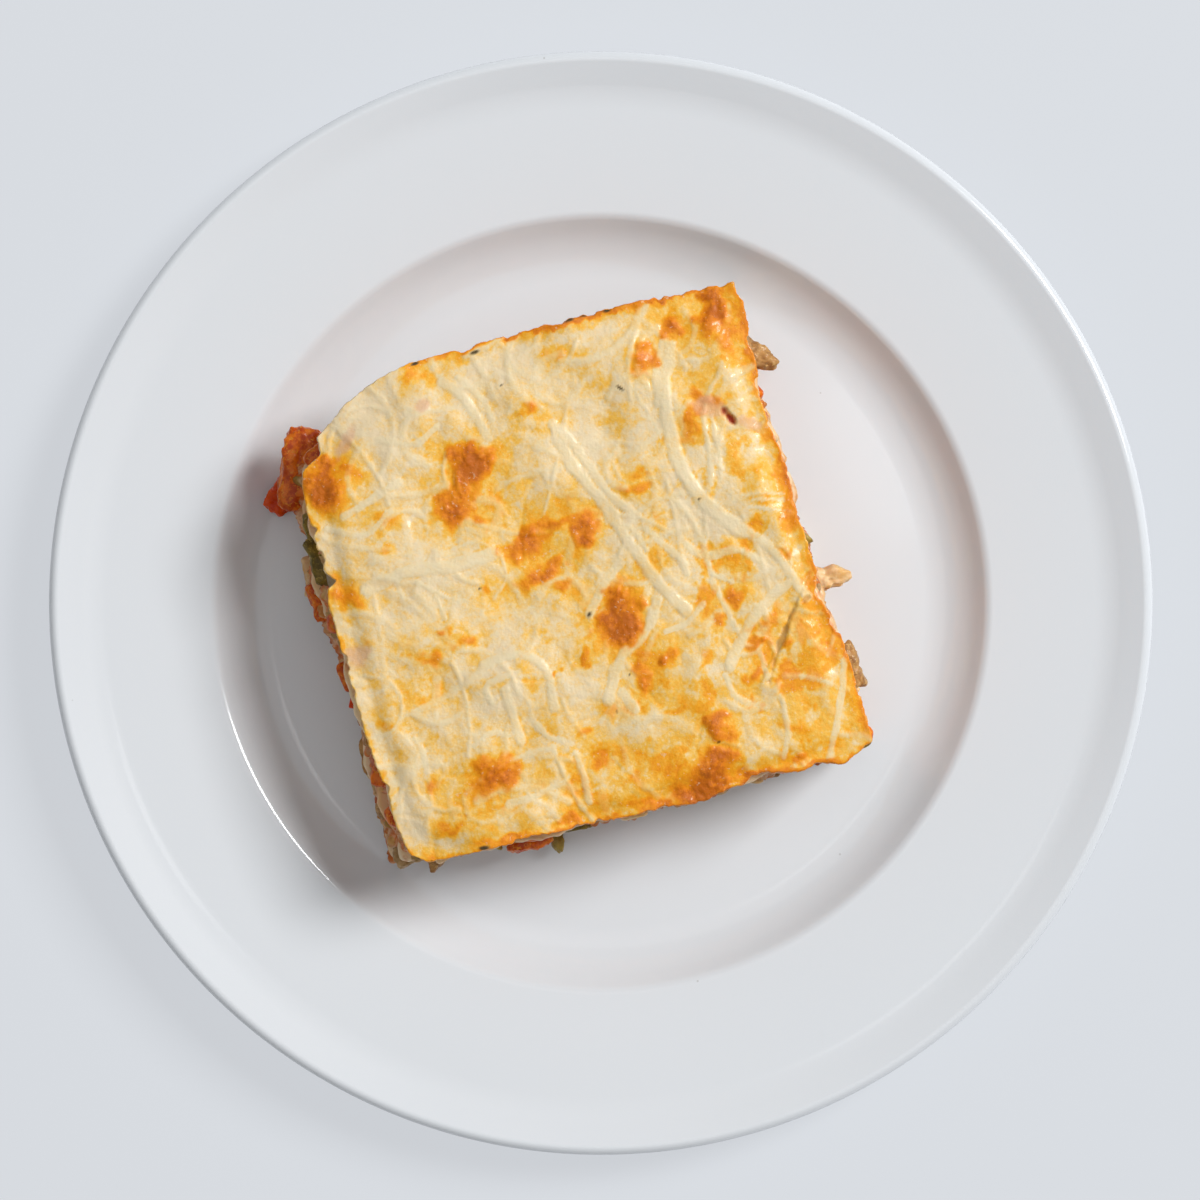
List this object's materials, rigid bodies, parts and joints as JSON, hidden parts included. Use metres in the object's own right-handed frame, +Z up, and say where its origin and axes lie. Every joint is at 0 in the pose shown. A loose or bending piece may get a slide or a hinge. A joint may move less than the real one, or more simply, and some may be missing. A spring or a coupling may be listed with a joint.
{
  "type": "lasagne slice on a plate",
  "caption": "Square slice of baked vegetable lasagne, its pasta sheets and filling showing at the sides under browned cheese, on a wide-rimmed dinner plate.",
  "frame": {"origin": "on the table, under the middle of the plate: the middle of the lowest level of the whole object", "axes": "+Z up, along the plate's axis; seen from above with +Y away from the viewer, the slice's front side faces -Y and the rounded corner with the large tomato piece is at the back left (-X, +Y)"},
  "size_m": [0.26, 0.26, 0.0458],
  "materials": {
    "glaze": "glossy white glaze",
    "pasta": "cooked pasta, moist, pale yellow, stained by sauce",
    "filling": "tomato sauce with mixed vegetables, moist",
    "cheese": "baked cheese, pale cream with golden and brown blisters, oily glints",
    "tomato": "cooked tomato, wet",
    "red_skin": "bright red cooked tomato skin, wet",
    "olive": "courgette, dark olive skin and pale flesh",
    "onion": "soft cooked onion, slightly see-through",
    "mushroom": "cooked mushroom, grey-brown",
    "aubergine": "cooked aubergine, brown flesh and dark skin",
    "pepper": "cooked green pepper, olive"
  },
  "bodies": {
    "root": {"plate": "glaze", "pasta_sheet_1": "pasta", "pasta_sheet_2": "pasta", "pasta_sheet_3": "pasta", "pasta_sheet_4": "pasta", "filling_1": "filling", "filling_2": "filling", "filling_3": "filling", "cheese_topping": "cheese", "tomato_wedge": "tomato", "tomato_tip": "red_skin", "courgette_piece": "olive", "tomato_piece_left": "tomato", "onion_piece_left": "onion", "mushroom_corner": "mushroom", "aubergine_tip": "aubergine", "tomato_piece_front": "tomato", "pepper_tip_front": "pepper", "aubergine_chunk": "aubergine", "onion_point": "onion", "aubergine_sliver": "aubergine"}
  },
  "joints": []
}
